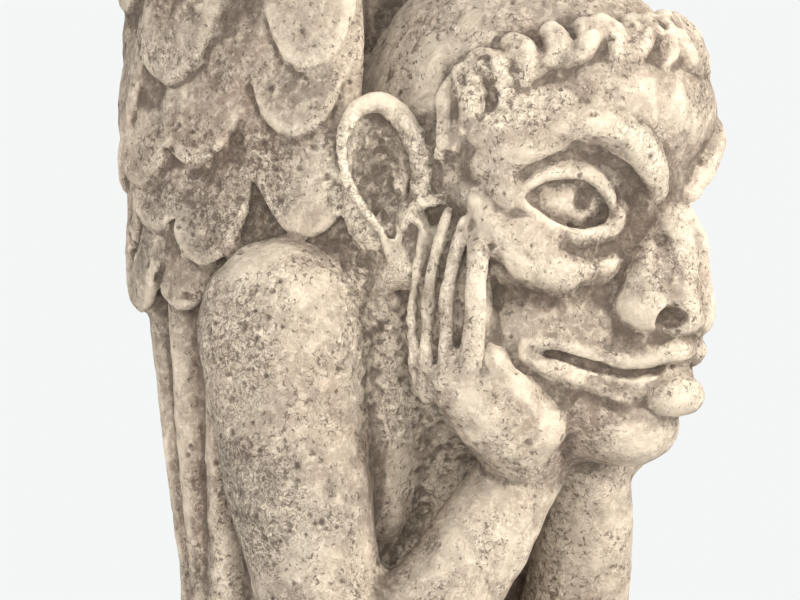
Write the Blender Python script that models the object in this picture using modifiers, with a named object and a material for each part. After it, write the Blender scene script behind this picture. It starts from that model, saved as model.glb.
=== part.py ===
"""Stone gargoyle: a winged beast that crouches with its chin in its hands, cast with a low plinth.

Metres, +Z up. The beast looks along -Y, its right side is at -X, and the origin is at the middle
of the plinth's underside. The figure is carved as a sculptor would: masses fused into one skin,
carving added, carving cut away, and the underside sawn flat.

Places on the body are (out, front, up): out from the middle plane, forwards, and up from the
plinth. Places on the head are the same three in the head's own tilted frame. Both are counted in
PART, one part in 396 of the figure's height, which is a millimetre at the height given here.
"""

import math
import random

import bmesh
import bpy
import numpy as np
from mathutils import Matrix, Vector

# Driving sizes, in metres.
FIGURE_HEIGHT = 0.396
PLINTH_WIDTH = 0.152
PLINTH_LENGTH = 0.198
PLINTH_HEIGHT = 0.024
PLINTH_CORNER = 0.022
PLINTH_EDGE = 0.003
MASS_GRAIN = 0.0024
MASS_SMOOTHING = 10
CARVING_GRAIN = 0.0012
CARVING_SMOOTHING = 2
THINNING = 0.0135
CHANCE_SEED = 7

PART = FIGURE_HEIGHT / 396
SIDES = (-1, 1)

# The body's middle line stands behind the plinth's middle, and the head nods.
BODY_BACK = -24
HEAD_FRONT = -4
HEAD_UP = 289
HEAD_NOD = math.radians(9)

STONE_COLOUR = (0.62, 0.53, 0.42, 1.0)
STONE_ROUGHNESS = 0.85


def body(side, out, front, up):
    """A place on the body, in metres. Side is -1 on the beast's right and 1 on its left."""
    return Vector((side * out * PART, -(front - BODY_BACK) * PART, PLINTH_HEIGHT + up * PART))


def head(side, out, front, up):
    """A place on the head, in metres."""
    forward = front * math.cos(HEAD_NOD) + up * math.sin(HEAD_NOD)
    upward = up * math.cos(HEAD_NOD) - front * math.sin(HEAD_NOD)
    return body(side, out, HEAD_FRONT + forward, HEAD_UP + upward)


class Clay:
    """Overlapping closed shapes, gathered in one mesh and fused by a voxel remesh."""

    def __init__(self):
        self.shapes = bmesh.new()

    def ball(self, centre, radii, along=None, roll=0.0, detail=3):
        """An ellipsoid. Its third radius lies along the direction given, and up otherwise."""
        turn = Matrix.Identity(4)
        if along is not None:
            turn = Vector(along).to_track_quat("Z", "Y").to_matrix().to_4x4()
            turn = turn @ Matrix.Rotation(roll, 4, "Z")
        scale = Matrix.Diagonal((*(radius * PART for radius in radii), 1.0))
        place = Matrix.Translation(centre) @ turn @ scale
        bmesh.ops.create_icosphere(self.shapes, subdivisions=detail, radius=1.0, matrix=place)

    def rope(self, points, radii, sides=8):
        """A round roll along a smooth line through the points, as thick as the radii say there."""
        if not hasattr(radii, "__len__"):
            radii = [radii] * len(points)
        curve = bpy.data.curves.new("rope", "CURVE")
        curve.dimensions = "3D"
        curve.bevel_depth = PART
        curve.bevel_resolution = (sides - 4) // 2
        curve.use_fill_caps = True
        curve.resolution_u = 6
        spline = curve.splines.new("BEZIER")
        spline.bezier_points.add(len(points) - 1)
        spline.radius_interpolation = "EASE"
        for knot, point, radius in zip(spline.bezier_points, points, radii):
            knot.co = point
            knot.radius = radius
            knot.handle_left_type = knot.handle_right_type = "AUTO"
        self.add_object(bpy.data.objects.new("rope", curve))
        for end, radius in ((points[0], radii[0]), (points[-1], radii[-1])):
            self.ball(end, (radius, radius, radius), detail=2)

    def add_object(self, shape):
        """Takes in an object's evaluated mesh, closed, and removes the object."""
        bpy.context.scene.collection.objects.link(shape)
        graph = bpy.context.evaluated_depsgraph_get()
        mesh = bpy.data.meshes.new_from_object(shape.evaluated_get(graph))
        mesh.transform(shape.matrix_world)
        welded = bmesh.new()
        welded.from_mesh(mesh)
        bmesh.ops.remove_doubles(welded, verts=welded.verts, dist=1e-6)
        welded.to_mesh(mesh)
        welded.free()
        self.shapes.from_mesh(mesh)
        bpy.data.objects.remove(shape)
        bpy.data.meshes.remove(mesh)

    def fused(self, name, collection, grain, smoothing):
        """The shapes as one object, with a live voxel remesh and a smoothing on it."""
        mesh = bpy.data.meshes.new(name)
        self.shapes.to_mesh(mesh)
        self.shapes.free()
        obj = bpy.data.objects.new(name, mesh)
        collection.objects.link(obj)
        fuse_and_smooth(obj, grain, smoothing)
        return obj


def fuse_and_smooth(obj, grain, smoothing):
    remesh = obj.modifiers.new("Fuse", "REMESH")
    remesh.mode = "VOXEL"
    remesh.voxel_size = grain
    smooth = obj.modifiers.new("Smooth", "SMOOTH")
    smooth.factor = 0.5
    smooth.iterations = smoothing


def boolean(obj, other, operation):
    """MANIFOLD, because EXACT takes minutes on two voxel meshes and both are closed."""
    modifier = obj.modifiers.new(operation.title(), "BOOLEAN")
    modifier.operation = operation
    modifier.object = other
    modifier.solver = "MANIFOLD"


def add_torso(clay):
    clay.ball(body(1, 0, -54, 50), (44, 36, 44))
    clay.ball(body(1, 0, -42, 98), (39, 36, 52))
    clay.ball(body(1, 0, -48, 170), (42, 35, 64))
    clay.ball(body(1, 0, -50, 228), (50, 34, 38))
    clay.rope(
        [body(1, 0, -40, 222), body(1, 0, -24, 248), body(1, 0, -8, 272)], [40, 39, 37], sides=16
    )
    for side in SIDES:
        clay.rope(
            [body(side, 20, -42, 262), body(side, 44, -36, 258), body(side, 60, -33, 254)],
            [22, 22, 20],
            sides=12,
        )
        clay.ball(body(side, 54, -30, 272), (10, 10, 9))
        clay.rope(
            [
                body(side, 40, -19, 286),
                body(side, 40, -18, 262),
                body(side, 37, -17, 236),
                body(side, 30, -22, 200),
            ],
            [13, 14, 14, 10],
            sides=12,
        )


def add_arms(clay):
    for side in SIDES:
        clay.rope(
            [
                body(side, 60, -33, 254),
                body(side, 59, -30, 216),
                body(side, 56, -24, 180),
                body(side, 53, -16, 138),
            ],
            [25, 21.5, 18.5, 16],
            sides=16,
        )
        clay.rope(
            [
                body(side, 53, -16, 136),
                body(side, 43, -4.5, 159),
                body(side, 30, 9, 187),
                body(side, 17, 20, 213),
            ],
            [16, 17, 15, 12.3],
            sides=16,
        )


def add_legs(clay):
    for side in SIDES:
        clay.rope(
            [body(side, 36, -58, 46), body(side, 46, -36, 84), body(side, 52, -10, 106)],
            [30, 26, 19],
            sides=16,
        )
        clay.rope(
            [body(side, 52, -8, 106), body(side, 50, -16, 66), body(side, 46, -12, 20)],
            [18, 18, 12],
            sides=16,
        )
        clay.rope(
            [body(side, 46, -24, 8), body(side, 47, 2, 9), body(side, 48, 24, 8)], [12, 11, 11]
        )


def add_head_masses(clay):
    clay.ball(head(1, 0, 10, 18), (46, 53, 55))
    clay.ball(head(1, 0, 38, 31), (35.5, 27.5, 26))
    clay.ball(head(1, 0, 34, 4), (37, 27, 36))
    clay.ball(head(1, 0, 30, -36), (39, 35, 28))
    clay.ball(head(1, 0, 57, -36), (17, 17, 20))
    clay.ball(head(1, 0, 30, -52), (33, 33, 21))
    clay.ball(head(1, 0, 56, -56), (17.5, 15.5, 12.5))
    clay.ball(head(1, 0, 6, -36), (42, 38, 40))
    for side in SIDES:
        clay.ball(head(side, 32, 33, -8), (13.5, 16, 13))


# The wing's middle surface: for each height, (out, front) from the leading edge to the spine.
WING_LEVELS = (
    (392, ((55, -40), (60, -50), (60, -61), (56, -71), (49, -79))),
    (376, ((55, -25), (62, -46), (62, -70), (52, -87), (34, -95))),
    (347, ((54, -18), (63, -46), (60, -80), (43, -92), (19, -98))),
    (310, ((53, -19), (63, -46), (60, -80), (43, -92), (17, -98))),
    (278, ((50, -24), (61, -49), (58, -78), (42, -90), (15, -96))),
    (250, ((46, -32), (59, -53), (55, -75), (40, -87), (13, -93))),
    (220, ((45, -40), (56, -56), (52, -73), (38, -84), (10, -90))),
    (175, ((44, -46), (52, -57), (48, -69), (34, -80), (7, -87))),
    (120, ((42, -54), (47, -62), (42, -74), (28, -84), (5, -89))),
    (60, ((40, -64), (43, -70), (38, -80), (25, -88), (5, -92))),
    (4, ((32, -72), (34, -77), (30, -84), (20, -90), (6, -93))),
)
WING_THICKNESS = 9
WING_TOP = 391


def wing_point(side, chord, up, lift=0.0):
    """A place on the wing: chord from 0 at the leading edge to 1 at the spine, lifted outwards."""
    heights = [level[0] for level in reversed(WING_LEVELS)]
    stations = np.linspace(0, 1, 5)

    def at(share):
        outs = [np.interp(share, stations, [p[0] for p in row]) for _, row in reversed(WING_LEVELS)]
        fronts = [np.interp(share, stations, [p[1] for p in row]) for _, row in reversed(WING_LEVELS)]
        return np.interp(up, heights, outs), np.interp(up, heights, fronts)

    out, front = at(chord)
    before, after = at(max(chord - 0.12, 0)), at(min(chord + 0.12, 1))
    along = Vector((after[0] - before[0], after[1] - before[1])).normalized()
    outward = Vector((-along.y, along.x))
    return body(side, out + outward.x * lift, front + outward.y * lift, up)


def add_wing_slab(clay, side):
    """The plate of the wing, a lofted sheet with a wall of stone, and its smooth front edge."""
    sheet = bmesh.new()
    rows = [
        [sheet.verts.new(body(side, out, front, up)) for out, front in row]
        for up, row in WING_LEVELS
    ]
    for upper, lower in zip(rows, rows[1:]):
        for k in range(len(upper) - 1):
            sheet.faces.new((upper[k], upper[k + 1], lower[k + 1], lower[k]))
    mesh = bpy.data.meshes.new("slab")
    sheet.to_mesh(mesh)
    sheet.free()
    slab = bpy.data.objects.new("slab", mesh)
    wall = slab.modifiers.new("Wall", "SOLIDIFY")
    wall.thickness = WING_THICKNESS * PART
    wall.offset = 0
    rounding = slab.modifiers.new("Rounding", "SUBSURF")
    rounding.levels = rounding.render_levels = 2
    clay.add_object(slab)
    edge = [wing_point(side, 0, WING_TOP * share) for share in (0.64, 0.7, 0.79, 0.89, 0.95, 0.99)]
    edge += [wing_point(side, chord, WING_TOP) for chord in (0.25, 0.6)]
    clay.rope(edge, [6, 6.2, 6.4, 6.6, 6.8, 6.8, 6.5, 6], sides=10)


FEATHER_SIZE = (14, 2.6, 24)
FEATHER_TILT = 0.17
FLIGHT_FEATHERS = 6
COVERTS = (
    # Chord, and how many half feather lengths the tip hangs below the wing's top, upper ones first
    (0.07, 1.0), (0.30, 0.9), (0.52, 1.0), (0.75, 1.0), (0.93, 1.1),
    (0.18, 1.9), (0.42, 1.8), (0.62, 2.0), (0.84, 2.0),
    (0.06, 2.8), (0.38, 2.9), (0.75, 2.8), (0.94, 2.9),
    (0.57, 3.5), (0.08, 3.5), (0.86, 3.6), (0.31, 3.9), (0.45, 4.1), (0.73, 4.2), (0.95, 4.3),
    (0.43, 4.6), (0.60, 4.8), (0.84, 4.9), (0.29, 5.1), (0.72, 5.3),
    (0.94, 5.4), (0.37, 5.6), (0.54, 5.6),
)


def add_feather(clay, grooves, side, chord, tip, size, tilt, lean=0.0, sweep=70):
    """A rounded plate whose root sinks into the wing, cut in around its tip as far as the sweep."""
    width, thickness, length = size
    up = tip + length
    centre = wing_point(side, chord, up, WING_THICKNESS * 0.5 + 0.2)
    above = wing_point(side, chord, up + 8, WING_THICKNESS * 0.5)
    below = wing_point(side, chord + lean, up - 8, WING_THICKNESS * 0.5)
    outward = (wing_point(side, chord, up, 8) - wing_point(side, chord, up, 0)).normalized()
    down = (below - above).normalized()
    down = (down + outward * tilt).normalized()
    across = outward.cross(down).normalized()
    outward = down.cross(across)
    axes = Matrix((across, outward, down)).transposed().to_4x4()
    scale = Matrix.Diagonal((width * PART, thickness * PART, length * PART, 1))
    place = Matrix.Translation(centre) @ axes @ scale
    made = bmesh.ops.create_icosphere(clay.shapes, subdivisions=4, radius=1.0)
    for vert in made["verts"]:
        # A squarer outline, a flatter face and a steeper edge than an ellipsoid has.
        powers = zip(vert.co, (0.85, 0.6, 0.8))
        vert.co = place @ Vector([math.copysign(abs(value) ** power, value) for value, power in powers])
    rim = [math.radians(sweep * share) for share in (-1, -0.6, -0.2, 0.2, 0.6, 1)]
    grooves.rope([place @ Vector((1.07 * math.sin(a), -0.1, 1.05 * math.cos(a))) for a in rim], 1.4)


def add_feathers(clay, grooves, side, chance):
    """Coverts over the upper wing, and long flight feathers below them."""
    for k in range(FLIGHT_FEATHERS):
        chord = (k + 0.5) / FLIGHT_FEATHERS
        tip = 6 + 22 * abs(math.sin(1.7 * k + 0.4))
        heights = [tip, tip + 8, 60, 120, 175, 220, 250, 275]
        shaft = [wing_point(side, chord, up, WING_THICKNESS * 0.5 - 2.2) for up in heights]
        clay.rope(shaft, [4.0, 5.4, 6.0, 6.0, 5.8, 5.6, 5.4, 5.0])
    for chord, hang in COVERTS:
        width, thickness, length = FEATHER_SIZE
        tip = WING_TOP - hang * length + chance.uniform(-1.5, 1.5)
        chord += chance.uniform(-0.012, 0.012)
        reach = min(length, (WING_TOP - tip) / 2 + 4)
        size = (width * chance.uniform(0.95, 1.05), thickness, reach)
        tilt = min(FEATHER_TILT * length / reach, 0.26)
        add_feather(clay, grooves, side, chord, tip, size, tilt, lean=chance.uniform(-0.02, 0.03))
    width, thickness, length = FEATHER_SIZE
    wide = (width * 0.95, thickness * 1.4, length * 1.1)
    tip = WING_TOP - 4.75 * length
    add_feather(clay, grooves, side, 0.10, tip, wide, FEATHER_TILT, lean=-0.05, sweep=98)


FINGERS = (
    # Each finger from knuckle to tip, index finger first, and its thickness
    (
        (
            (45, 19.5, 234), (48.5, 23, 246), (50, 25, 255),
            (50.5, 25.5, 264), (48.5, 25, 272), (45.5, 24, 279),
        ),
        3.2,
    ),
    (
        (
            (47.5, 13.5, 232), (51, 16, 242), (52, 17, 251),
            (52.5, 17.5, 261), (50, 18, 271), (46, 19, 282),
        ),
        2.3,
    ),
    (
        (
            (48, 7.5, 233), (51, 9.5, 243), (52, 10.3, 252),
            (52, 11, 262), (50, 12, 273), (46, 13.5, 285),
        ),
        1.9,
    ),
    (
        (
            (48.5, 4, 235), (51, 5.2, 244), (51.5, 5, 252),
            (51, 5, 261), (49.5, 5.5, 270), (47, 5.5, 279),
        ),
        1.5,
    ),
)


def add_hand(forms, hollows, details, side):
    forms.rope(
        [
            body(side, 44, 14.5, 240),
            body(side, 40, 18, 235),
            body(side, 35, 21, 229),
            body(side, 28, 23, 223),
            body(side, 20, 22, 217),
        ],
        [9.5, 11, 12, 12.5, 12],
        sides=12,
    )
    forms.rope(
        [body(side, 41, 24, 243), body(side, 35, 28, 234), body(side, 27, 30.5, 225)], [5.5, 7.5, 9]
    )
    forms.ball(body(side, 41.5, 12, 258), (7.5, 12.5, 26))
    crease = ((46.5, 31, 275), (41, 28.5, 264), (38.5, 30, 249), (35, 31, 238), (29, 35, 226))
    hollows.rope([body(side, *point) for point in crease], [1.0, 2.2, 2.2, 1.8, 1.2])
    for points, thickness in FINGERS:
        radii = [thickness * share for share in (1.25, 1.1, 1, 1, 1, 0.85)]
        details.rope([body(side, *point) for point in points], radii)
    for before, after in zip(FINGERS, FINGERS[1:]):
        between = [
            body(side, *((a + b) / 2 + shift for a, b, shift in zip(p, q, (-0.8, 0, 0))))
            for p, q in zip(before[0], after[0])
        ]
        hollows.rope(between, [0.8, 1.8, 2.2, 2.3, 2.2, 1.6])


def add_foot(clay, side):
    for spread in (-11, -1, 9):
        out = 48 + spread
        reach = 48 - abs(spread + 1) * 0.4
        clay.rope(
            [
                body(side, 48 + spread * 0.5, 10, 12),
                body(side, out, 28, 13),
                body(side, out + spread * 0.1, reach - 7, 8),
                body(side, out + spread * 0.12, reach, 3),
            ],
            [7.5, 7, 5, 2],
        )


EAR_RIM = (
    (46, 8, 3), (46, 7, 10), (48, 4.5, 17), (51, 1, 23), (55.5, -3, 26), (59.5, -6.5, 24.5),
    (63, -8, 19), (64.5, -7.5, 11.5), (63.5, -5.5, 4), (60, -1.5, -3), (56, 2, -8.5), (52, 4, -15),
    (49, 4.5, -19.5),
)
EAR_RIM_RADII = (3.4, 3.5, 3.6, 3.5, 3.3, 2.8, 2.2, 1.7, 1.5, 1.5, 1.6, 1.7, 1.8)
EAR_LOBE = ((45, 13, 1), (48, 8.5, -1.5), (50, 6, -6), (50.5, 5.5, -12), (49, 5, -19))


def add_ear(forms, hollows, details, side):
    facing = head(side, 0.65, 0.76, 0) - head(side, 0, 0, 0)
    facing.normalize()
    middle = head(side, 55, -0.5, 5)
    forms.ball(middle - facing * 6 * PART, (10, 22, 6.5), along=facing)
    forms.ball(head(side, 46, 3, -12), (6, 10, 14))
    hollows.ball(middle + facing * 1.0 * PART + Vector((0, 0, 3.5 * PART)), (8.6, 19, 8), along=facing)
    hollows.ball(head(side, 53, 2.5, -10), (3.4, 3.6, 9), along=Vector((side * 0.35, 0, 1)))
    hollows.ball(head(side, 50, 10, -12), (3.5, 3, 7))
    details.rope([head(side, *point) for point in EAR_RIM], EAR_RIM_RADII)
    details.rope([head(side, *point) for point in EAR_LOBE], [1.6, 1.6, 1.5, 1.5, 1.6])


EYE = (22.9, 39.4, 5.5)
EYE_FACING = (0.58, 0.815, 0.0)
EYE_SIZE = (15, 9.5, 10.3)
UPPER_LID = (
    (40.5, 35.5, 5.5), (37.5, 40, 11), (32.5, 45.5, 14), (26.5, 50.5, 13.5), (21.5, 53.5, 9.5),
    (18.5, 54.5, 4.5),
)
LOWER_LID = (
    (40.5, 35.5, 5.5), (36.5, 43, 0), (31, 47.5, -2.5), (25, 52, -2.5), (20.5, 54.5, 0.5),
    (18.5, 54.5, 4.5),
)
SOCKET = (
    # Round the eye from its outer corner over the top, and how deep the furrow is there
    ((42, 33.5, 9), 1.0), ((38.5, 39.5, 15), 1.5), ((33, 46.5, 18.5), 1.8), ((26, 53, 18.5), 2.6),
    ((20, 57, 15), 3.5), ((15.5, 59, 9.5), 4.3), ((13, 60, 3), 4.6), ((15, 58.5, -3), 4.0),
    ((21, 55, -6.5), 2.8), ((28, 51.5, -7.5), 1.9), ((34, 48, -6.5), 1.4), ((39.5, 43.5, -3.5), 1.0),
)


EYE_CREASES = (
    # Over the upper lid, under the lower lid, and over the outer brow
    (
        ((42.5, 33, 8), 0.7), ((39, 38.5, 14), 1.0), ((34, 44.5, 17.5), 1.2), ((27, 51, 17.5), 1.4),
        ((21.5, 54.5, 13), 1.2),
    ),
    (
        ((41.5, 36, 1), 0.6), ((36.5, 44.5, -4), 0.9), ((31, 48.5, -6.5), 1.0), ((24, 53, -6), 1.3),
        ((19, 56, -2.5), 1.2),
    ),
    (((39.5, 34.5, 31), 0.6), ((37, 40.5, 32.5), 1.2), ((33.5, 46, 31.5), 0.7)),
)


def add_eye(hollows, details, drills, side):
    facing = head(side, *EYE_FACING) - head(side, 0, 0, 0)
    middle = head(side, *EYE)
    hollows.ball(middle + facing * 10, (13.5, 8.8, 6.5), along=facing)
    hollows.rope([head(side, *point) for point, _ in SOCKET], [radius for _, radius in SOCKET])
    for crease in EYE_CREASES:
        drills.rope([head(side, *point) for point, _ in crease], [radius for _, radius in crease])
    details.ball(middle, EYE_SIZE, along=facing)
    details.rope([head(side, *p) for p in UPPER_LID], [1.5, 2.0, 2.3, 2.3, 2.0, 1.4])
    details.rope([head(side, *p) for p in LOWER_LID], [1.5, 1.8, 2.1, 2.1, 1.8, 1.4])
    drills.ball(head(side, 27, 49.5, 6.5), (3.4, 4.3, 3.4), along=facing)
    drills.ball(head(side, 32.5, 46, 5), (0.9, 0.9, 2), along=facing)


def add_brow(forms, side):
    ridge = (
        (38, 37, 23), (33, 45.5, 27), (27, 52, 28), (20.5, 57, 25), (13.5, 60, 18.5), (8.5, 61, 12),
    )
    forms.rope([head(side, *point) for point in ridge], [4.5, 5, 5.8, 6.4, 6.0, 4.2], sides=12)
    hood = ((40, 26, 13), (38.5, 34, 18.5), (34, 41, 22.5))
    forms.rope([head(side, *point) for point in hood], [6, 6.5, 6], sides=12)
    forms.ball(head(side, 39.5, 30, 6), (4.8, 8, 9))
    swelling = ((41, 24, 22), (36.5, 34, 28.5), (30.5, 41.5, 32.5))
    forms.rope([head(side, *point) for point in swelling], [6.5, 7.5, 7], sides=12)


def add_nose(forms, hollows):
    for side in SIDES:
        bridge = ((2, 63.5, 3), (3, 65.5, -2), (3, 68, -12), (3.6, 70.5, -22))
        forms.rope([head(side, *p) for p in bridge], [5.5, 6.6, 6.8, 7.4], sides=12)
        flank = ((6, 62, -3), (8.5, 62, -9), (10.5, 63, -16))
        forms.rope([head(side, *point) for point in flank], [4.8, 6.2, 7.4])
        forms.ball(head(side, 12.5, 64, -21), (7, 8.5, 7))
        forms.ball(head(side, 17.5, 50, -9), (8, 7, 9))
        hollows.ball(head(side, 10.5, 73, -22.8), (4.4, 6.2, 3.8))
        hollows.ball(head(side, 9, 65, -1.5), (2.2, 2.6, 2.6))
        groove = ((19.5, 58.5, -19), (19, 60.5, -24.5), (16, 64, -28.5))
        hollows.rope([head(side, *p) for p in groove], [0.7, 1.3, 1.1])


MOUTH = (
    (34.5, 44.5, -36.5), (30.5, 50.5, -37), (26, 54.5, -38), (21.5, 58, -39), (15, 64, -40),
    (10.5, 69.5, -38.5), (5, 73, -36.5), (0, 74.5, -36),
)
UPPER_LIP = (
    (36, 42, -35), (32.5, 47, -33.5), (27, 53, -34), (21.5, 57, -35.5), (15, 63, -36), (9.5, 69.5, -34),
    (4, 72.5, -31.5), (0, 72.5, -32),
)
LOWER_LIP = (
    (36, 42, -38), (32, 47, -40.5), (26, 52, -42.5), (19, 56.5, -44.5), (12.5, 62.5, -47.5),
    (6.5, 66.5, -51), (0, 68, -52),
)


def add_mouth(details, drills):
    line = [*MOUTH, *((-out, front, up) for out, front, up in reversed(MOUTH[:-1]))]
    half = [1.1, 1.5, 1.8, 1.8, 1.7, 1.4, 1.1]
    for inwards in (0, 2):
        slit = [head(1, out * (1 - 0.025 * inwards), front - inwards, up) for out, front, up in line]
        drills.rope(slit, [*half, 1.1, *reversed(half)])
    for side in SIDES:
        details.rope([head(side, *p) for p in UPPER_LIP], [1.8, 2.2, 2.4, 2.4, 2.6, 3.2, 3.9, 3.4])
        details.rope([head(side, *p) for p in LOWER_LIP], [1.8, 2.1, 2.1, 2.1, 2.1, 2.1, 2.1])
        drills.ball(head(side, 12.5, 69, -44.5), (1.6, 3.5, 2.6))
    details.ball(head(1, 0, 70.5, -45), (10.5, 8.5, 6.5))
    crease = ((-14, 65.5, -54), (-8, 70, -55.5), (0, 72, -56), (8, 70, -55.5), (14, 65.5, -54))
    drills.rope([head(1, *p) for p in crease], [0.8, 1.1, 1.2, 1.1, 0.8])


def add_cheek(clay, side):
    cheek = ((44, 26, 2), (43, 33, -6.5), (39, 40, -12), (31.5, 48, -14), (24.5, 52, -12.5))
    clay.rope([head(side, *p) for p in cheek], [4, 5.5, 6, 6, 4])


HAIR_LINE = (
    # The middle of the band of locks, from above the ear to the middle of the brow
    (43, 18, 31), (39.5, 23, 37), (35.5, 28.5, 42), (30.5, 34.5, 46), (25, 40, 48.5),
    (19.5, 44.5, 49.5), (13.5, 48.5, 50.5), (7, 51.5, 50.5), (0, 52.5, 50.5),
)
LOCK = (
    # Forward along the band, down, outward, and the thickness
    ((-0.8, -5.2, 2.6), 4.0), ((1.6, -1.0, 3.4), 4.3), ((1.4, 4.0, 2.8), 3.6), ((-2.2, 9.5, 1.0), 1.8),
)
CURL = (
    # Forward, down, and the radius of the groove that parts the lock from its own curl
    ((-2.6, -3.8), 1.0), ((-0.6, -5.2), 1.3), ((0.8, -3.2), 1.5), ((-0.2, 0.2), 1.2), ((-0.2, 3.6), 0.9),
    ((-1.6, 7.0), 0.6),
)
TEMPLE_STRANDS = (
    ((46, 10.5, 27), (47, 13.5, 20), (46.5, 12.5, 13)),
    ((45.5, 15, 32), (45.5, 18.5, 24), (46, 17, 16)),
    ((44.5, 12, 35), (46.5, 11.5, 29), (46.5, 15, 22.5)),
    ((43.5, 20, 30), (43.5, 22.5, 23.5), (44, 21, 18)),
)


def add_locks(forms, clay, cut, side, chance):
    """Comma-shaped locks that curl forwards and down over the brow, with drilled gaps."""
    for k, place in enumerate(HAIR_LINE):
        here = Vector(place)
        if k == len(HAIR_LINE) - 1 and side == SIDES[0]:
            continue
        before = Vector(HAIR_LINE[max(k - 1, 0)])
        after = Vector(HAIR_LINE[k + 1]) if k + 1 < len(HAIR_LINE) else Vector((-7, 51.5, 50.5))
        forward = (after - before).normalized()
        outward = Vector((here.x, here.y - 12, here.z - 16)).normalized()
        down = forward.cross(outward).normalized()
        if down.z > 0:
            down = -down
        swing, tall, lift = chance.uniform(0.8, 1.2), chance.uniform(0.85, 1.2), 0.25 * k - 0.5
        thick = chance.uniform(0.88, 1.08)
        turn = Matrix.Rotation(chance.uniform(-0.6, 0.2), 3, outward)
        forward, down = turn @ forward, turn @ down
        clay.rope(
            [
                head(side, *(here + forward * a * swing + down * b * tall + outward * (c + lift)))
                for (a, b, c), _ in LOCK
            ],
            [radius * thick for _, radius in LOCK],
        )
        cut.rope(
            [
                head(side, *(here + forward * a * swing + down * b * tall + outward * (6.6 + lift)))
                for (a, b), _ in CURL
            ],
            [radius * thick for _, radius in CURL],
        )
    forms.rope([head(side, *(Vector(p) * 0.97)) for p in HAIR_LINE], 4.5)
    for strand in TEMPLE_STRANDS:
        clay.rope([head(side, *point) for point in strand], [1.5, 2.3, 1.3])


def add_plinth(clay):
    """A slab with round corners. Its lower few millimetres are sawn off with the underside."""
    slab = bmesh.new()
    bmesh.ops.create_cube(slab, size=1.0)
    mesh = bpy.data.meshes.new("plinth")
    depth = PLINTH_HEIGHT + SAW_ALLOWANCE
    for vert in slab.verts:
        vert.co = (
            vert.co.x * PLINTH_WIDTH,
            vert.co.y * PLINTH_LENGTH,
            (vert.co.z + 0.5) * depth - SAW_ALLOWANCE,
        )
    upright = [edge for edge in slab.edges if abs(edge.verts[0].co.z - edge.verts[1].co.z) > 1e-6]
    bmesh.ops.bevel(slab, geom=upright, offset=PLINTH_CORNER, segments=6, affect="EDGES", profile=0.5)
    slab.to_mesh(mesh)
    slab.free()
    plinth = bpy.data.objects.new("plinth", mesh)
    edge = plinth.modifiers.new("Edge", "BEVEL")
    edge.width = PLINTH_EDGE
    edge.segments = 3
    edge.limit_method = "ANGLE"
    edge.angle_limit = math.radians(50)
    clay.add_object(plinth)


SAW_ALLOWANCE = 0.006


def make_saw(collection):
    """A block under the ground plane, twice the plinth's size, which leaves the underside flat."""
    mesh = bpy.data.meshes.new("saw")
    block = bmesh.new()
    bmesh.ops.create_cube(block, size=1.0)
    for vert in block.verts:
        vert.co.x *= 2 * PLINTH_WIDTH
        vert.co.y *= 2 * PLINTH_LENGTH
        vert.co.z = (vert.co.z - 0.5) * 2 * PLINTH_HEIGHT
    block.to_mesh(mesh)
    block.free()
    saw = bpy.data.objects.new("saw", mesh)
    collection.objects.link(saw)
    return saw


def make_stone():
    stone = bpy.data.materials.new("aged cast stone")
    stone.use_nodes = True
    shader = stone.node_tree.nodes["Principled BSDF"]
    shader.inputs["Base Color"].default_value = STONE_COLOUR
    shader.inputs["Roughness"].default_value = STONE_ROUGHNESS
    shader.inputs["Metallic"].default_value = 0.0
    return stone


def clear_scene():
    for obj in list(bpy.data.objects):
        bpy.data.objects.remove(obj)


def main():
    clear_scene()
    kept = bpy.data.collections.new("stone gargoyle")
    tools = bpy.data.collections.new("carving tools")
    for collection in (kept, tools):
        bpy.context.scene.collection.children.link(collection)
    chance = random.Random(CHANCE_SEED)

    masses, forms, hollows, details, drills = (Clay() for _ in range(5))
    add_torso(masses)
    add_arms(masses)
    add_legs(masses)
    add_head_masses(masses)
    for side in SIDES:
        add_cheek(masses, side)
    add_plinth(forms)
    add_nose(forms, hollows)
    add_mouth(details, drills)
    for side in SIDES:
        add_wing_slab(forms, side)
        add_feathers(forms, drills, side, chance)
        add_hand(forms, hollows, details, side)
        add_foot(forms, side)
        add_ear(forms, hollows, details, side)
        add_brow(forms, side)
        add_eye(hollows, details, drills, side)
        add_locks(forms, details, drills, side, chance)

    gargoyle = masses.fused("gargoyle", kept, MASS_GRAIN, MASS_SMOOTHING)
    steps = (
        (forms.fused("forms added", tools, CARVING_GRAIN, CARVING_SMOOTHING), "UNION"),
        (hollows.fused("hollows cut", tools, CARVING_GRAIN, 1), "DIFFERENCE"),
        (details.fused("details added", tools, CARVING_GRAIN, 1), "UNION"),
        (drills.fused("drilled holes", tools, CARVING_GRAIN, 1), "DIFFERENCE"),
    )
    for helper, operation in steps:
        boolean(gargoyle, helper, operation)
    fuse_and_smooth(gargoyle, CARVING_GRAIN, CARVING_SMOOTHING)
    thin = gargoyle.modifiers.new("Thin", "DECIMATE")
    thin.ratio = THINNING
    saw = make_saw(tools)
    boolean(gargoyle, saw, "DIFFERENCE")
    for helper in (*(step[0] for step in steps), saw):
        helper.hide_render = True
        helper.display_type = "WIRE"
    gargoyle.data.materials.append(make_stone())


if __name__ == "__main__":
    main()
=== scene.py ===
"""Looks of the stone gargoyle: the carving at a fine grain, with its pits, stipple and weathering.

The figure is carved as in the part's own source: masses fused into one skin, forms added, hollows
cut, details added and holes drilled. Places on the body are (out, front, up), and places on the
head are the same three in the head's tilted frame, all counted in PART.
"""

import math
import random

import bmesh
import bpy
import numpy as np
from mathutils import Matrix, Vector
from mathutils.bvhtree import BVHTree
from mathutils.kdtree import KDTree


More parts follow.
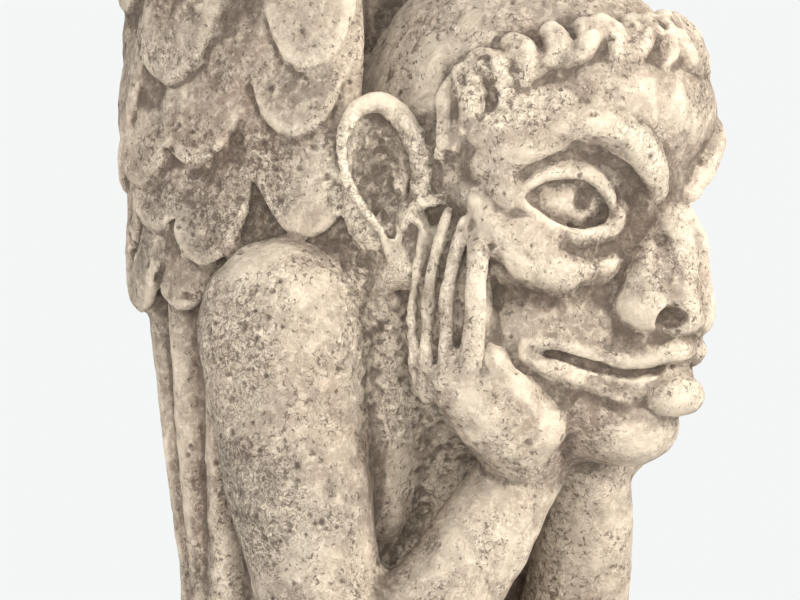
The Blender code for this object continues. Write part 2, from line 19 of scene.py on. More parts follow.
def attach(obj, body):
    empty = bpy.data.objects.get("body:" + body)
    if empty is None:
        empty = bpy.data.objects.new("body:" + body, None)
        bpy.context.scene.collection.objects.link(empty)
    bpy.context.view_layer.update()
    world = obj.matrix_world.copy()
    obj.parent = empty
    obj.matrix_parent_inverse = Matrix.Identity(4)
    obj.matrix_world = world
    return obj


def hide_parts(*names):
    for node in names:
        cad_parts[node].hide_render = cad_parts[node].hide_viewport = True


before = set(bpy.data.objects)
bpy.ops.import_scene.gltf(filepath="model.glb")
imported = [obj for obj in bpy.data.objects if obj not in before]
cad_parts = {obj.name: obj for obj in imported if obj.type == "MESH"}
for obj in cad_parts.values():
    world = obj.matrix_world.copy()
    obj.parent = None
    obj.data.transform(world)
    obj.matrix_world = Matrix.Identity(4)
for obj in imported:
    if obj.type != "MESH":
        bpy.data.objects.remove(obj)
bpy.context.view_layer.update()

# Sizes, in metres
FIGURE_HEIGHT = 0.396
PLINTH_WIDTH = 0.152
PLINTH_LENGTH = 0.198
PLINTH_HEIGHT = 0.024
PLINTH_CORNER = 0.022
PLINTH_EDGE = 0.003
MASS_GRAIN = 0.0022
CARVING_GRAIN = 0.0009

# The plinth is built this much deeper and sawn off with the underside.
SAW_ALLOWANCE = 0.006

# How often each mass of clay is smoothed, and how many triangles the finished skin keeps
MASS_SMOOTHING = 10
FORM_SMOOTHING = 2
DETAIL_SMOOTHING = 1
SKIN_SMOOTHING = 3
SKIN_TRIANGLES = 196000
CARVING_SEED = 7

PART = FIGURE_HEIGHT / 396
SIDES = (-1, 1)

# The body's middle line stands behind the plinth's middle, and the head nods.
BODY_BACK = -24
HEAD_FRONT = -4
HEAD_UP = 289
HEAD_NOD = math.radians(9)

# The camera, from the figure's right front, and the photo in pixels and pixels per metre
CAMERA_TURN = math.radians(-55)
CAMERA_DISTANCE = 1.3
SENSOR_WIDTH = 36
PHOTO_WIDTH = 800
PHOTO_MIDDLE = (400, 300)
PHOTO_SCALE = 3470
HEAD_IN_PHOTO = (500, 200)


def body(side, out, front, up):
    """A place on the body, in metres. Side is -1 on the beast's right and 1 on its left."""
    return Vector((side * out * PART, -(front - BODY_BACK) * PART, PLINTH_HEIGHT + up * PART))


def head(side, out, front, up):
    """A place on the head, in metres."""
    forward = front * math.cos(HEAD_NOD) + up * math.sin(HEAD_NOD)
    upward = up * math.cos(HEAD_NOD) - front * math.sin(HEAD_NOD)
    return body(side, out, HEAD_FRONT + forward, HEAD_UP + upward)


def on_body(side, places):
    return [body(side, *place) for place in places]


def on_head(side, places):
    return [head(side, *place) for place in places]


def head_line(side, knots):
    """The points and radii of a rope on the head, from knots of a place and a radius."""
    places, radii = zip(*knots)
    return on_head(side, places), radii


def placed(name, data):
    """A new object in the scene."""
    obj = bpy.data.objects.new(name, data)
    bpy.context.scene.collection.objects.link(obj)
    return obj


class Clay:
    """Overlapping closed shapes, gathered in one mesh and fused by a voxel remesh."""

    def __init__(self):
        self.shapes = bmesh.new()

    def ball(self, centre, radii, along=None, detail=3):
        """An ellipsoid. Its third radius lies along the direction given, and up otherwise."""
        turn = Matrix.Identity(4)
        if along is not None:
            turn = Vector(along).to_track_quat("Z", "Y").to_matrix().to_4x4()
        scale = Matrix.Diagonal((*(radius * PART for radius in radii), 1.0))
        place = Matrix.Translation(centre) @ turn @ scale
        bmesh.ops.create_icosphere(self.shapes, subdivisions=detail, radius=1.0, matrix=place)

    def rope(self, points, radii, sides=8):
        """A round roll along a smooth line through the points, as thick as the radii say there."""
        if not hasattr(radii, "__len__"):
            radii = [radii] * len(points)
        curve = bpy.data.curves.new("rope", "CURVE")
        curve.dimensions = "3D"
        curve.bevel_depth = PART
        curve.bevel_resolution = (sides - 4) // 2
        curve.use_fill_caps = True
        curve.resolution_u = 6
        spline = curve.splines.new("BEZIER")
        spline.bezier_points.add(len(points) - 1)
        spline.radius_interpolation = "EASE"
        for knot, point, radius in zip(spline.bezier_points, points, radii):
            knot.co = point
            knot.radius = radius
            knot.handle_left_type = knot.handle_right_type = "AUTO"
        self.add_object(bpy.data.objects.new("rope", curve))
        for end, radius in ((points[0], radii[0]), (points[-1], radii[-1])):
            self.ball(end, (radius, radius, radius), detail=2)

    def add_object(self, shape):
        """Takes in an object's evaluated mesh, closed, and removes the object."""
        bpy.context.scene.collection.objects.link(shape)
        graph = bpy.context.evaluated_depsgraph_get()
        mesh = bpy.data.meshes.new_from_object(shape.evaluated_get(graph))
        mesh.transform(shape.matrix_world)
        welded = bmesh.new()
        welded.from_mesh(mesh)
        bmesh.ops.remove_doubles(welded, verts=welded.verts, dist=1e-6)
        welded.to_mesh(mesh)
        welded.free()
        self.shapes.from_mesh(mesh)
        bpy.data.objects.remove(shape)
        bpy.data.meshes.remove(mesh)

    def fused(self, name, grain, smoothing):
        """The shapes as one object, with a live voxel remesh and a smoothing on it."""
        mesh = bpy.data.meshes.new(name)
        self.shapes.to_mesh(mesh)
        self.shapes.free()
        obj = placed(name, mesh)
        fuse_and_smooth(obj, grain, smoothing)
        return obj


def fuse_and_smooth(obj, grain, smoothing):
    remesh = obj.modifiers.new("Fuse", "REMESH")
    remesh.mode = "VOXEL"
    remesh.voxel_size = grain
    smooth = obj.modifiers.new("Smooth", "SMOOTH")
    smooth.factor = 0.5
    smooth.iterations = smoothing


def boolean(obj, other, operation):
    """MANIFOLD, because EXACT takes minutes on two voxel meshes and both are closed."""
    modifier = obj.modifiers.new(operation.title(), "BOOLEAN")
    modifier.operation = operation
    modifier.object = other
    modifier.solver = "MANIFOLD"


def add_torso(clay):
    for place, radii in (
        ((0, -54, 50), (44, 36, 44)),
        ((0, -42, 98), (39, 36, 52)),
        ((0, -48, 170), (42, 35, 64)),
        ((0, -50, 228), (50, 34, 38)),
    ):
        clay.ball(body(1, *place), radii)
    throat = ((0, -40, 222), (0, -24, 248), (0, -8, 272))
    clay.rope(on_body(1, throat), [40, 39, 37], sides=16)
    for side in SIDES:
        shoulder = ((20, -42, 262), (44, -36, 258), (60, -33, 254))
        clay.rope(on_body(side, shoulder), [22, 22, 20], sides=12)
        clay.ball(body(side, 54, -30, 272), (10, 10, 9))
        neck = ((40, -19, 286), (40, -18, 262), (37, -17, 236), (30, -22, 200))
        clay.rope(on_body(side, neck), [13, 14, 14, 10], sides=12)


def add_arms(clay):
    upper_arm = ((60, -33, 254), (59, -30, 216), (56, -24, 180), (53, -16, 138))
    forearm = ((53, -16, 136), (43, -4.5, 159), (30, 9, 187), (17, 20, 213))
    for side in SIDES:
        clay.rope(on_body(side, upper_arm), [25, 21.5, 18.5, 16], sides=16)
        clay.rope(on_body(side, forearm), [16, 17, 15, 12.3], sides=16)


def add_legs(clay):
    thigh = ((36, -58, 46), (46, -36, 84), (52, -10, 106))
    shin = ((52, -8, 106), (50, -16, 66), (46, -12, 20))
    sole = ((46, -24, 8), (47, 2, 9), (48, 24, 8))
    for side in SIDES:
        clay.rope(on_body(side, thigh), [30, 26, 19], sides=16)
        clay.rope(on_body(side, shin), [18, 18, 12], sides=16)
        clay.rope(on_body(side, sole), [12, 11, 11])


def add_head_masses(clay):
    for place, radii in (
        ((0, 10, 18), (46, 53, 55)),
        ((0, 38, 31), (35.5, 27.5, 26)),
        ((0, 34, 4), (37, 27, 36)),
        ((0, 30, -36), (39, 35, 28)),
        ((0, 57, -36), (17, 17, 20)),
        ((0, 30, -52), (33, 33, 21)),
        ((0, 56, -56), (17.5, 15.5, 12.5)),
        ((0, 6, -36), (42, 38, 40)),
    ):
        clay.ball(head(1, *place), radii)
    for side in SIDES:
        clay.ball(head(side, 32, 33, -8), (13.5, 16, 13))


# The wing's middle surface: for each height, (out, front) from the leading edge to the spine.
WING_LEVELS = (
    (392, ((55, -40), (60, -50), (60, -61), (56, -71), (49, -79))),
    (376, ((55, -25), (62, -46), (62, -70), (52, -87), (34, -95))),
    (347, ((54, -18), (63, -46), (60, -80), (43, -92), (19, -98))),
    (310, ((53, -19), (63, -46), (60, -80), (43, -92), (17, -98))),
    (278, ((50, -24), (61, -49), (58, -78), (42, -90), (15, -96))),
    (250, ((46, -32), (59, -53), (55, -75), (40, -87), (13, -93))),
    (220, ((45, -40), (56, -56), (52, -73), (38, -84), (10, -90))),
    (175, ((44, -46), (52, -57), (48, -69), (34, -80), (7, -87))),
    (120, ((42, -54), (47, -62), (42, -74), (28, -84), (5, -89))),
    (60, ((40, -64), (43, -70), (38, -80), (25, -88), (5, -92))),
    (4, ((32, -72), (34, -77), (30, -84), (20, -90), (6, -93))),
)
WING_THICKNESS = 9
WING_TOP = 391


def wing_point(side, chord, up, lift=0.0):
    """A place on the wing: chord from 0 at the leading edge to 1 at the spine, lifted outwards."""
    heights = [level[0] for level in reversed(WING_LEVELS)]
    stations = np.linspace(0, 1, 5)

    def at(share):
        outs = [np.interp(share, stations, [p[0] for p in row]) for _, row in reversed(WING_LEVELS)]
        fronts = [np.interp(share, stations, [p[1] for p in row]) for _, row in reversed(WING_LEVELS)]
        return np.interp(up, heights, outs), np.interp(up, heights, fronts)

    out, front = at(chord)
    before, after = at(max(chord - 0.12, 0)), at(min(chord + 0.12, 1))
    along = Vector((after[0] - before[0], after[1] - before[1])).normalized()
    outward = Vector((-along.y, along.x))
    return body(side, out + outward.x * lift, front + outward.y * lift, up)


def add_wing_slab(clay, side):
    """The plate of the wing, a lofted sheet with a wall of stone, and its smooth front edge."""
    sheet = bmesh.new()
    rows = [
        [sheet.verts.new(body(side, out, front, up)) for out, front in row]
        for up, row in WING_LEVELS
    ]
    for upper, lower in zip(rows, rows[1:]):
        for k in range(len(upper) - 1):
            sheet.faces.new((upper[k], upper[k + 1], lower[k + 1], lower[k]))
    mesh = bpy.data.meshes.new("slab")
    sheet.to_mesh(mesh)
    sheet.free()
    slab = bpy.data.objects.new("slab", mesh)
    wall = slab.modifiers.new("Wall", "SOLIDIFY")
    wall.thickness = WING_THICKNESS * PART
    wall.offset = 0
    rounding = slab.modifiers.new("Rounding", "SUBSURF")
    rounding.levels = rounding.render_levels = 2
    clay.add_object(slab)
    edge = [wing_point(side, 0, WING_TOP * share) for share in (0.64, 0.7, 0.79, 0.89, 0.95, 0.99)]
    edge += [wing_point(side, chord, WING_TOP) for chord in (0.25, 0.6)]
    clay.rope(edge, [6, 6.2, 6.4, 6.6, 6.8, 6.8, 6.5, 6], sides=10)


FEATHER_SIZE = (14, 2.6, 24)
FEATHER_TILT = 0.17
STEEPEST_TILT = 0.26
FEATHER_GROOVE = 1.4
FLIGHT_FEATHERS = 6
FLIGHT_SINK = 2.2
COVERTS = (
    # Chord, and how many half feather lengths the tip hangs below the wing's top, upper ones first
    (0.07, 1.0), (0.30, 0.9), (0.52, 1.0), (0.75, 1.0), (0.93, 1.1),
    (0.18, 1.9), (0.42, 1.8), (0.62, 2.0), (0.84, 2.0),
    (0.06, 2.8), (0.38, 2.9), (0.75, 2.8), (0.94, 2.9),
    (0.57, 3.5), (0.08, 3.5), (0.86, 3.6), (0.31, 3.9), (0.45, 4.1), (0.73, 4.2), (0.95, 4.3),
    (0.43, 4.6), (0.60, 4.8), (0.84, 4.9), (0.29, 5.1), (0.72, 5.3),
    (0.94, 5.4), (0.37, 5.6), (0.54, 5.6),
)


def add_feather(clay, grooves, side, chord, tip, size, tilt, lean=0.0, sweep=70):
    """A rounded plate whose root sinks into the wing, cut in around its tip as far as the sweep."""
    width, thickness, length = size
    up = tip + length
    centre = wing_point(side, chord, up, WING_THICKNESS * 0.5 + 0.2)
    above = wing_point(side, chord, up + 8, WING_THICKNESS * 0.5)
    below = wing_point(side, chord + lean, up - 8, WING_THICKNESS * 0.5)
    outward = (wing_point(side, chord, up, 8) - wing_point(side, chord, up, 0)).normalized()
    down = (below - above).normalized()
    down = (down + outward * tilt).normalized()
    across = outward.cross(down).normalized()
    outward = down.cross(across)
    axes = Matrix((across, outward, down)).transposed().to_4x4()
    scale = Matrix.Diagonal((width * PART, thickness * PART, length * PART, 1))
    place = Matrix.Translation(centre) @ axes @ scale
    made = bmesh.ops.create_icosphere(clay.shapes, subdivisions=4, radius=1.0)
    for vert in made["verts"]:
        # A squarer outline, a flatter face and a steeper edge than an ellipsoid has.
        powers = zip(vert.co, (0.85, 0.6, 0.8))
        vert.co = place @ Vector([math.copysign(abs(value) ** power, value) for value, power in powers])
    rim = [math.radians(sweep * share) for share in (-1, -0.6, -0.2, 0.2, 0.6, 1)]
    edge = [place @ Vector((1.07 * math.sin(a), -0.1, 1.05 * math.cos(a))) for a in rim]
    grooves.rope(edge, FEATHER_GROOVE)


def add_feathers(clay, grooves, side, chance):
    """Coverts over the upper wing, and long flight feathers below them."""
    for k in range(FLIGHT_FEATHERS):
        chord = (k + 0.5) / FLIGHT_FEATHERS
        tip = 6 + 22 * abs(math.sin(1.7 * k + 0.4))
        heights = [tip, tip + 8, 60, 120, 175, 220, 250, 275]
        shaft = [wing_point(side, chord, up, WING_THICKNESS * 0.5 - FLIGHT_SINK) for up in heights]
        clay.rope(shaft, [4.0, 5.4, 6.0, 6.0, 5.8, 5.6, 5.4, 5.0])
    width, thickness, length = FEATHER_SIZE
    for chord, hang in COVERTS:
        tip = WING_TOP - hang * length + chance.uniform(-1.5, 1.5)
        chord += chance.uniform(-0.012, 0.012)
        reach = min(length, (WING_TOP - tip) / 2 + 4)
        size = (width * chance.uniform(0.95, 1.05), thickness, reach)
        tilt = min(FEATHER_TILT * length / reach, STEEPEST_TILT)
        add_feather(clay, grooves, side, chord, tip, size, tilt, lean=chance.uniform(-0.02, 0.03))
    # One thicker feather lies over the shoulder.
    wide = (width * 0.95, thickness * 1.4, length * 1.1)
    tip = WING_TOP - 4.75 * length
    add_feather(clay, grooves, side, 0.10, tip, wide, FEATHER_TILT, lean=-0.05, sweep=98)


FINGERS = (
    # Each finger from knuckle to tip, index finger first, and its thickness
    (
        (
            (45, 19.5, 234), (48.5, 23, 246), (50, 25, 255),
            (50.5, 25.5, 264), (48.5, 25, 272), (45.5, 24, 279),
        ),
        3.2,
    ),
    (
        (
            (47.5, 13.5, 232), (51, 16, 242), (52, 17, 251),
            (52.5, 17.5, 261), (50, 18, 271), (46, 19, 282),
        ),
        2.3,
    ),
    (
        (
            (48, 7.5, 233), (51, 9.5, 243), (52, 10.3, 252),
            (52, 11, 262), (50, 12, 273), (46, 13.5, 285),
        ),
        1.9,
    ),
    (
        (
            (48.5, 4, 235), (51, 5.2, 244), (51.5, 5, 252),
            (51, 5, 261), (49.5, 5.5, 270), (47, 5.5, 279),
        ),
        1.5,
    ),
)


def add_hand(forms, hollows, details, side):
    palm = ((44, 14.5, 240), (40, 18, 235), (35, 21, 229), (28, 23, 223), (20, 22, 217))
    forms.rope(on_body(side, palm), [9.5, 11, 12, 12.5, 12], sides=12)
    heel = ((41, 24, 243), (35, 28, 234), (27, 30.5, 225))
    forms.rope(on_body(side, heel), [5.5, 7.5, 9])
    forms.ball(body(side, 41.5, 12, 258), (7.5, 12.5, 26))
    crease = ((46.5, 31, 275), (41, 28.5, 264), (38.5, 30, 249), (35, 31, 238), (29, 35, 226))
    hollows.rope(on_body(side, crease), [1.0, 2.2, 2.2, 1.8, 1.2])
    for points, thickness in FINGERS:
        radii = [thickness * share for share in (1.25, 1.1, 1, 1, 1, 0.85)]
        details.rope(on_body(side, points), radii)
    inwards = (-0.8, 0, 0)
    for (before, _), (after, _) in zip(FINGERS, FINGERS[1:]):
        between = [
            [(a + b) / 2 + shift for a, b, shift in zip(p, q, inwards)] for p, q in zip(before, after)
        ]
        hollows.rope(on_body(side, between), [0.8, 1.8, 2.2, 2.3, 2.2, 1.6])


FOOT_OUT = 48
TOE_REACH = 48


def add_foot(clay, side):
    for spread in (-11, -1, 9):
        out = FOOT_OUT + spread
        reach = TOE_REACH - abs(spread + 1) * 0.4
        toe = (
            (FOOT_OUT + spread * 0.5, 10, 12),
            (out, 28, 13),
            (out + spread * 0.1, reach - 7, 8),
            (out + spread * 0.12, reach, 3),
        )
        clay.rope(on_body(side, toe), [7.5, 7, 5, 2])


EAR_RIM = (
    (46, 8, 3), (46, 7, 10), (48, 4.5, 17), (51, 1, 23), (55.5, -3, 26), (59.5, -6.5, 24.5),
    (63, -8, 19), (64.5, -7.5, 11.5), (63.5, -5.5, 4), (60, -1.5, -3), (56, 2, -8.5), (52, 4, -15),
    (49, 4.5, -19.5),
)
EAR_RIM_RADII = (3.4, 3.5, 3.6, 3.5, 3.3, 2.8, 2.2, 1.7, 1.5, 1.5, 1.6, 1.7, 1.8)
EAR_LOBE = ((45, 13, 1), (48, 8.5, -1.5), (50, 6, -6), (50.5, 5.5, -12), (49, 5, -19))


def add_ear(forms, hollows, details, side):
    facing = head(side, 0.65, 0.76, 0) - head(side, 0, 0, 0)
    facing.normalize()
    middle = head(side, 55, -0.5, 5)
    forms.ball(middle - facing * 6 * PART, (10, 22, 6.5), along=facing)
    forms.ball(head(side, 46, 3, -12), (6, 10, 14))
    hollows.ball(middle + facing * 1.0 * PART + Vector((0, 0, 3.5 * PART)), (8.6, 19, 8), along=facing)
    hollows.ball(head(side, 53, 2.5, -10), (3.4, 3.6, 9), along=Vector((side * 0.35, 0, 1)))
    hollows.ball(head(side, 50, 10, -12), (3.5, 3, 7))
    details.rope(on_head(side, EAR_RIM), EAR_RIM_RADII)
    details.rope(on_head(side, EAR_LOBE), [1.6, 1.6, 1.5, 1.5, 1.6])


EYE = (22.9, 39.4, 5.5)
EYE_FACING = (0.58, 0.815, 0.0)
EYE_SIZE = (15, 9.5, 10.3)
UPPER_LID = (
    (40.5, 35.5, 5.5), (37.5, 40, 11), (32.5, 45.5, 14), (26.5, 50.5, 13.5), (21.5, 53.5, 9.5),
    (18.5, 54.5, 4.5),
)
LOWER_LID = (
    (40.5, 35.5, 5.5), (36.5, 43, 0), (31, 47.5, -2.5), (25, 52, -2.5), (20.5, 54.5, 0.5),
    (18.5, 54.5, 4.5),
)
SOCKET = (
    # Round the eye from its outer corner over the top, and how deep the furrow is there
    ((42, 33.5, 9), 1.0), ((38.5, 39.5, 15), 1.5), ((33, 46.5, 18.5), 1.8), ((26, 53, 18.5), 2.6),
    ((20, 57, 15), 3.5), ((15.5, 59, 9.5), 4.3), ((13, 60, 3), 4.6), ((15, 58.5, -3), 4.0),
    ((21, 55, -6.5), 2.8), ((28, 51.5, -7.5), 1.9), ((34, 48, -6.5), 1.4), ((39.5, 43.5, -3.5), 1.0),
)
EYE_CREASES = (
    # Over the upper lid, under the lower lid, and over the outer brow
    (
        ((42.5, 33, 8), 0.7), ((39, 38.5, 14), 1.0), ((34, 44.5, 17.5), 1.2), ((27, 51, 17.5), 1.4),
        ((21.5, 54.5, 13), 1.2),
    ),
    (
        ((41.5, 36, 1), 0.6), ((36.5, 44.5, -4), 0.9), ((31, 48.5, -6.5), 1.0), ((24, 53, -6), 1.3),
        ((19, 56, -2.5), 1.2),
    ),
    (((39.5, 34.5, 31), 0.6), ((37, 40.5, 32.5), 1.2), ((33.5, 46, 31.5), 0.7)),
)


def add_eye(hollows, details, drills, side):
    facing = head(side, *EYE_FACING) - head(side, 0, 0, 0)
    middle = head(side, *EYE)
    hollows.ball(middle + facing * 10, (13.5, 8.8, 6.5), along=facing)
    hollows.rope(*head_line(side, SOCKET))
    for crease in EYE_CREASES:
        drills.rope(*head_line(side, crease))
    details.ball(middle, EYE_SIZE, along=facing)
    details.rope(on_head(side, UPPER_LID), [1.5, 2.0, 2.3, 2.3, 2.0, 1.4])
    details.rope(on_head(side, LOWER_LID), [1.5, 1.8, 2.1, 2.1, 1.8, 1.4])
    drills.ball(head(side, 27, 49.5, 6.5), (3.4, 4.3, 3.4), along=facing)
    drills.ball(head(side, 32.5, 46, 5), (0.9, 0.9, 2), along=facing)


def add_brow(forms, side):
    ridge = (
        (38, 37, 23), (33, 45.5, 27), (27, 52, 28), (20.5, 57, 25), (13.5, 60, 18.5), (8.5, 61, 12),
    )
    forms.rope(on_head(side, ridge), [4.5, 5, 5.8, 6.4, 6.0, 4.2], sides=12)
    hood = ((40, 26, 13), (38.5, 34, 18.5), (34, 41, 22.5))
    forms.rope(on_head(side, hood), [6, 6.5, 6], sides=12)
    forms.ball(head(side, 39.5, 30, 6), (4.8, 8, 9))
    swelling = ((41, 24, 22), (36.5, 34, 28.5), (30.5, 41.5, 32.5))
    forms.rope(on_head(side, swelling), [6.5, 7.5, 7], sides=12)


def add_nose(forms, hollows):
    for side in SIDES:
        bridge = ((2, 63.5, 3), (3, 65.5, -2), (3, 68, -12), (3.6, 70.5, -22))
        forms.rope(on_head(side, bridge), [5.5, 6.6, 6.8, 7.4], sides=12)
        flank = ((6, 62, -3), (8.5, 62, -9), (10.5, 63, -16))
        forms.rope(on_head(side, flank), [4.8, 6.2, 7.4])
        forms.ball(head(side, 12.5, 64, -21), (7, 8.5, 7))
        forms.ball(head(side, 17.5, 50, -9), (8, 7, 9))
        hollows.ball(head(side, 10.5, 73, -22.8), (4.4, 6.2, 3.8))
        hollows.ball(head(side, 9, 65, -1.5), (2.2, 2.6, 2.6))
        groove = ((19.5, 58.5, -19), (19, 60.5, -24.5), (16, 64, -28.5))
        hollows.rope(on_head(side, groove), [0.7, 1.3, 1.1])


MOUTH = (
    (34.5, 44.5, -36.5), (30.5, 50.5, -37), (26, 54.5, -38), (21.5, 58, -39), (15, 64, -40),
    (10.5, 69.5, -38.5), (5, 73, -36.5), (0, 74.5, -36),
)
UPPER_LIP = (
    (36, 42, -35), (32.5, 47, -33.5), (27, 53, -34), (21.5, 57, -35.5), (15, 63, -36), (9.5, 69.5, -34),
    (4, 72.5, -31.5), (0, 72.5, -32),
)
LOWER_LIP = (
    (36, 42, -38), (32, 47, -40.5), (26, 52, -42.5), (19, 56.5, -44.5), (12.5, 62.5, -47.5),
    (6.5, 66.5, -51), (0, 68, -52),
)


def add_mouth(details, drills):
    line = [*MOUTH, *((-out, front, up) for out, front, up in reversed(MOUTH[:-1]))]
    half = [1.1, 1.5, 1.8, 1.8, 1.7, 1.4, 1.1]
    for inwards in (0, 2):
        slit = [head(1, out * (1 - 0.025 * inwards), front - inwards, up) for out, front, up in line]
        drills.rope(slit, [*half, 1.1, *reversed(half)])
    for side in SIDES:
        details.rope(on_head(side, UPPER_LIP), [1.8, 2.2, 2.4, 2.4, 2.6, 3.2, 3.9, 3.4])
        details.rope(on_head(side, LOWER_LIP), [1.8, 2.1, 2.1, 2.1, 2.1, 2.1, 2.1])
        drills.ball(head(side, 12.5, 69, -44.5), (1.6, 3.5, 2.6))
    details.ball(head(1, 0, 70.5, -45), (10.5, 8.5, 6.5))
    crease = ((-14, 65.5, -54), (-8, 70, -55.5), (0, 72, -56), (8, 70, -55.5), (14, 65.5, -54))
    drills.rope(on_head(1, crease), [0.8, 1.1, 1.2, 1.1, 0.8])


def add_cheek(clay, side):
    cheek = ((44, 26, 2), (43, 33, -6.5), (39, 40, -12), (31.5, 48, -14), (24.5, 52, -12.5))
    clay.rope(on_head(side, cheek), [4, 5.5, 6, 6, 4])


HAIR_LINE = (
    # The middle of the band of locks, from above the ear to the middle of the brow
    (43, 18, 31), (39.5, 23, 37), (35.5, 28.5, 42), (30.5, 34.5, 46), (25, 40, 48.5),
    (19.5, 44.5, 49.5), (13.5, 48.5, 50.5), (7, 51.5, 50.5), (0, 52.5, 50.5),
)
LOCK = (
    # Forward along the band, down, outward, and the thickness
    ((-0.8, -5.2, 2.6), 4.0), ((1.6, -1.0, 3.4), 4.3), ((1.4, 4.0, 2.8), 3.6), ((-2.2, 9.5, 1.0), 1.8),
)
CURL_OUT = 6.6
CURL = (
    # Forward, down, and the radius of the groove that parts the lock from its own curl
    ((-2.6, -3.8), 1.0), ((-0.6, -5.2), 1.3), ((0.8, -3.2), 1.5), ((-0.2, 0.2), 1.2), ((-0.2, 3.6), 0.9),
    ((-1.6, 7.0), 0.6),
)
TEMPLE_STRANDS = (
    ((46, 10.5, 27), (47, 13.5, 20), (46.5, 12.5, 13)),
    ((45.5, 15, 32), (45.5, 18.5, 24), (46, 17, 16)),
    ((44.5, 12, 35), (46.5, 11.5, 29), (46.5, 15, 22.5)),
    ((43.5, 20, 30), (43.5, 22.5, 23.5), (44, 21, 18)),
)


def add_locks(forms, clay, cut, side, chance):
    """Comma-shaped locks that curl forwards and down over the brow, with drilled gaps."""
    beyond = (-HAIR_LINE[-2][0], *HAIR_LINE[-2][1:])
    for k, place in enumerate(HAIR_LINE):
        here = Vector(place)
        if k == len(HAIR_LINE) - 1 and side == SIDES[0]:
            continue
        before = Vector(HAIR_LINE[max(k - 1, 0)])
        after = Vector(HAIR_LINE[k + 1] if k + 1 < len(HAIR_LINE) else beyond)
        forward = (after - before).normalized()
        outward = Vector((here.x, here.y - 12, here.z - 16)).normalized()
        down = forward.cross(outward).normalized()
        if down.z > 0:
            down = -down
        swing, tall, lift = chance.uniform(0.8, 1.2), chance.uniform(0.85, 1.2), 0.25 * k - 0.5
        thick = chance.uniform(0.88, 1.08)
        turn = Matrix.Rotation(chance.uniform(-0.6, 0.2), 3, outward)
        forward, down = turn @ forward, turn @ down
        clay.rope(
            [
                head(side, *(here + forward * a * swing + down * b * tall + outward * (c + lift)))
                for (a, b, c), _ in LOCK
            ],
            [radius * thick for _, radius in LOCK],
        )
        cut.rope(
            [
                head(side, *(here + forward * a * swing + down * b * tall + outward * (CURL_OUT + lift)))
                for (a, b), _ in CURL
            ],
            [radius * thick for _, radius in CURL],
        )
    forms.rope([head(side, *(Vector(p) * 0.97)) for p in HAIR_LINE], 4.5)
    for strand in TEMPLE_STRANDS:
        clay.rope(on_head(side, strand), [1.5, 2.3, 1.3])


def add_plinth(clay):
    """A slab with round corners. Its lower few millimetres are sawn off with the underside."""
    slab = bmesh.new()
    bmesh.ops.create_cube(slab, size=1.0)
    mesh = bpy.data.meshes.new("plinth")
    depth = PLINTH_HEIGHT + SAW_ALLOWANCE
    for vert in slab.verts:
        vert.co = (
            vert.co.x * PLINTH_WIDTH,
            vert.co.y * PLINTH_LENGTH,
            (vert.co.z + 0.5) * depth - SAW_ALLOWANCE,
        )
    upright = [edge for edge in slab.edges if abs(edge.verts[0].co.z - edge.verts[1].co.z) > 1e-6]
    bmesh.ops.bevel(slab, geom=upright, offset=PLINTH_CORNER, segments=6, affect="EDGES", profile=0.5)
    slab.to_mesh(mesh)
    slab.free()
    plinth = bpy.data.objects.new("plinth", mesh)
    edge = plinth.modifiers.new("Edge", "BEVEL")
    edge.width = PLINTH_EDGE
    edge.segments = 3
    edge.limit_method = "ANGLE"
    edge.angle_limit = math.radians(50)
    clay.add_object(plinth)


def as_mesh(obj):
    """The evaluated mesh of an object, and the object gone."""
    graph = bpy.context.evaluated_depsgraph_get()
    mesh = bpy.data.meshes.new_from_object(obj.evaluated_get(graph))
    bpy.data.objects.remove(obj)
    return mesh


def carve_figure():
    """The whole figure as one dense skin."""
    chance = random.Random(CARVING_SEED)
    masses, forms, hollows, details, drills = (Clay() for _ in range(5))
    add_torso(masses)
    add_arms(masses)
    add_legs(masses)
    add_head_masses(masses)
    for side in SIDES:
        add_cheek(masses, side)
    add_plinth(forms)
    add_nose(forms, hollows)
    add_mouth(details, drills)
    for side in SIDES:
        add_wing_slab(forms, side)
        add_feathers(forms, drills, side, chance)
        add_hand(forms, hollows, details, side)
        add_foot(forms, side)
        add_ear(forms, hollows, details, side)
        add_brow(forms, side)
        add_eye(hollows, details, drills, side)
        add_locks(forms, details, drills, side, chance)
    figure = masses.fused("figure", MASS_GRAIN, MASS_SMOOTHING)
    helpers = []
    for clay, name, operation, smoothing in (
        (forms, "forms added", "UNION", FORM_SMOOTHING),
        (hollows, "hollows cut", "DIFFERENCE", FORM_SMOOTHING),
        (details, "details added", "UNION", DETAIL_SMOOTHING),
        (drills, "drilled holes", "DIFFERENCE", DETAIL_SMOOTHING),
    ):
        helpers.append(clay.fused(name, CARVING_GRAIN, smoothing))
        boolean(figure, helpers[-1], operation)
        if operation == "DIFFERENCE":
            fuse_and_smooth(figure, CARVING_GRAIN, SKIN_SMOOTHING)
    skin = as_mesh(figure)
    for helper in helpers:
        bpy.data.objects.remove(helper)
    return skin


# Reading and moving the skin


def vectors_of(items, name):
    flat = np.empty(len(items) * 3, np.float32)
    items.foreach_get(name, flat)
    return flat.reshape(-1, 3).astype(float)


def places_of(mesh):
    return vectors_of(mesh.vertices, "co")


def neighbour_mean(places, edges, count):
    """The mean place of each vertex's neighbours."""
    ends = np.concatenate((edges[:, 0], edges[:, 1]))
    others = np.concatenate((edges[:, 1], edges[:, 0]))
    sums = [np.bincount(ends, places[others, axis], len(places)) for axis in range(3)]
    return np.stack(sums, 1) / count[:, None]


def edges_of(mesh):
    flat = np.empty(len(mesh.edges) * 2, np.int32)
    mesh.edges.foreach_get("vertices", flat)
    return flat.reshape(-1, 2)


